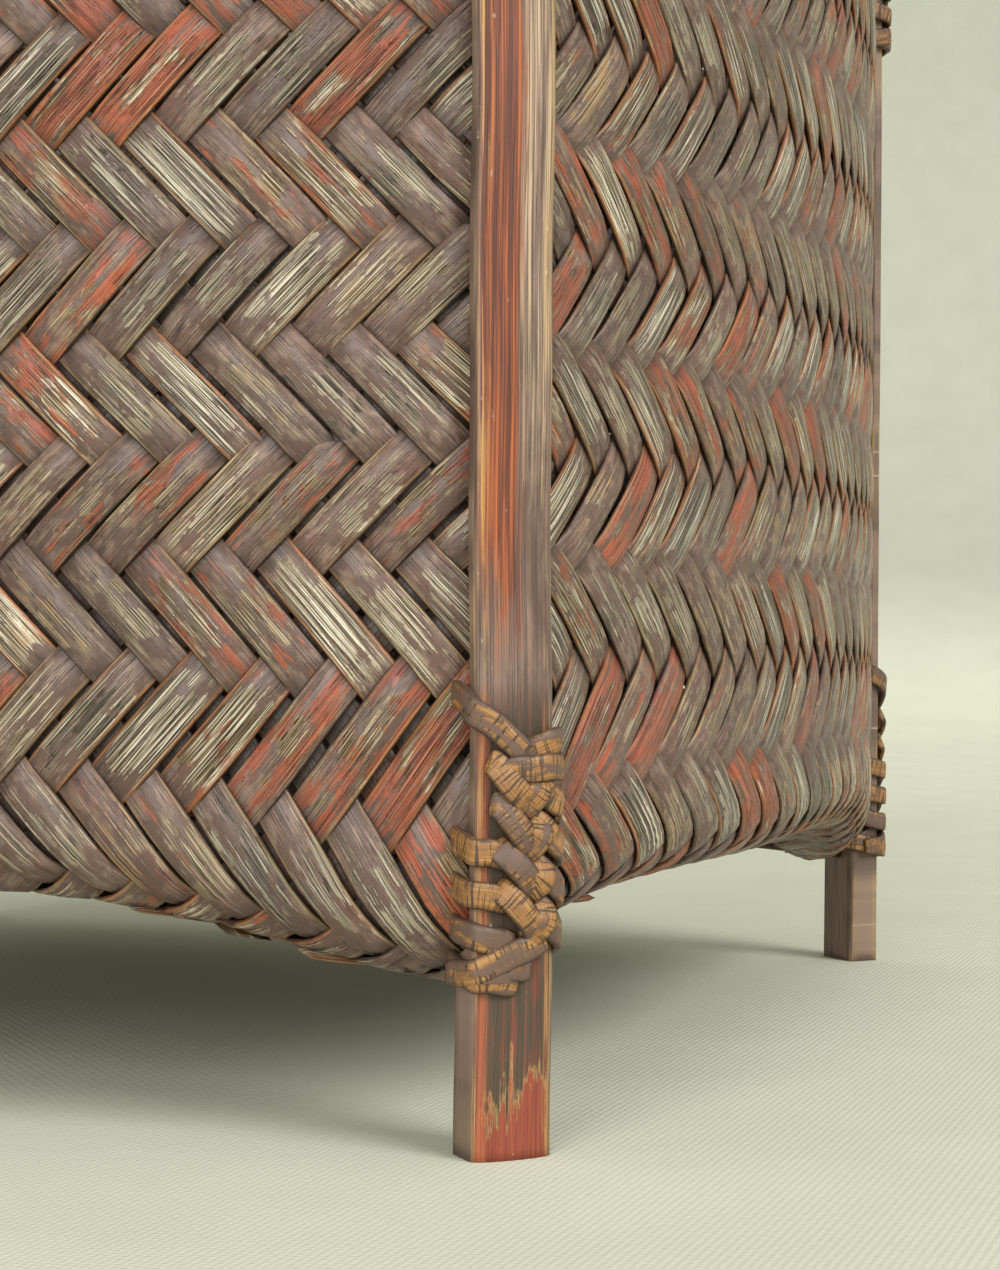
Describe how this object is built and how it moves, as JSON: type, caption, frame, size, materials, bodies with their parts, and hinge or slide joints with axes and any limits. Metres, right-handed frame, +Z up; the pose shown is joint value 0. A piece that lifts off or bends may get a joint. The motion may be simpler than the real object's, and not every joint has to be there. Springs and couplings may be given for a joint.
{
  "type": "woven bamboo basket",
  "caption": "Square open basket of lacquered twill-plaited bamboo splints with bulging sides, standing on corner legs lashed on with split cane.",
  "frame": {"origin": "on the floor, under the middle of the basket", "axes": "+Z up; the four sides face +X, -X, +Y and -Y, and the legs stand on the diagonals"},
  "size_m": [0.257, 0.257, 0.236],
  "materials": {
    "lacquered_weave": "worn brown lacquer on plaited bamboo",
    "lacquered_bamboo": "worn red-brown lacquer on split bamboo",
    "leg_bamboo": "worn red-brown lacquer on bamboo, bare at the foot",
    "cane": "split rattan, partly lacquered, cracked across"
  },
  "bodies": {
    "basket": {"woven_body": "lacquered_weave", "rim_outer_hoop": "lacquered_bamboo", "rim_inner_hoop": "lacquered_bamboo", "rim_cap": "cane", "rim_binding": "cane", "base_stay_upper": "cane", "base_stay_lower": "cane", "leg_front_right": "leg_bamboo", "foot_lashing_front_right": "cane", "rim_lashing_front_right": "cane", "leg_back_right": "leg_bamboo", "foot_lashing_back_right": "cane", "rim_lashing_back_right": "cane", "leg_back_left": "leg_bamboo", "foot_lashing_back_left": "cane", "rim_lashing_back_left": "cane", "leg_front_left": "leg_bamboo", "foot_lashing_front_left": "cane", "rim_lashing_front_left": "cane"}
  },
  "joints": []
}
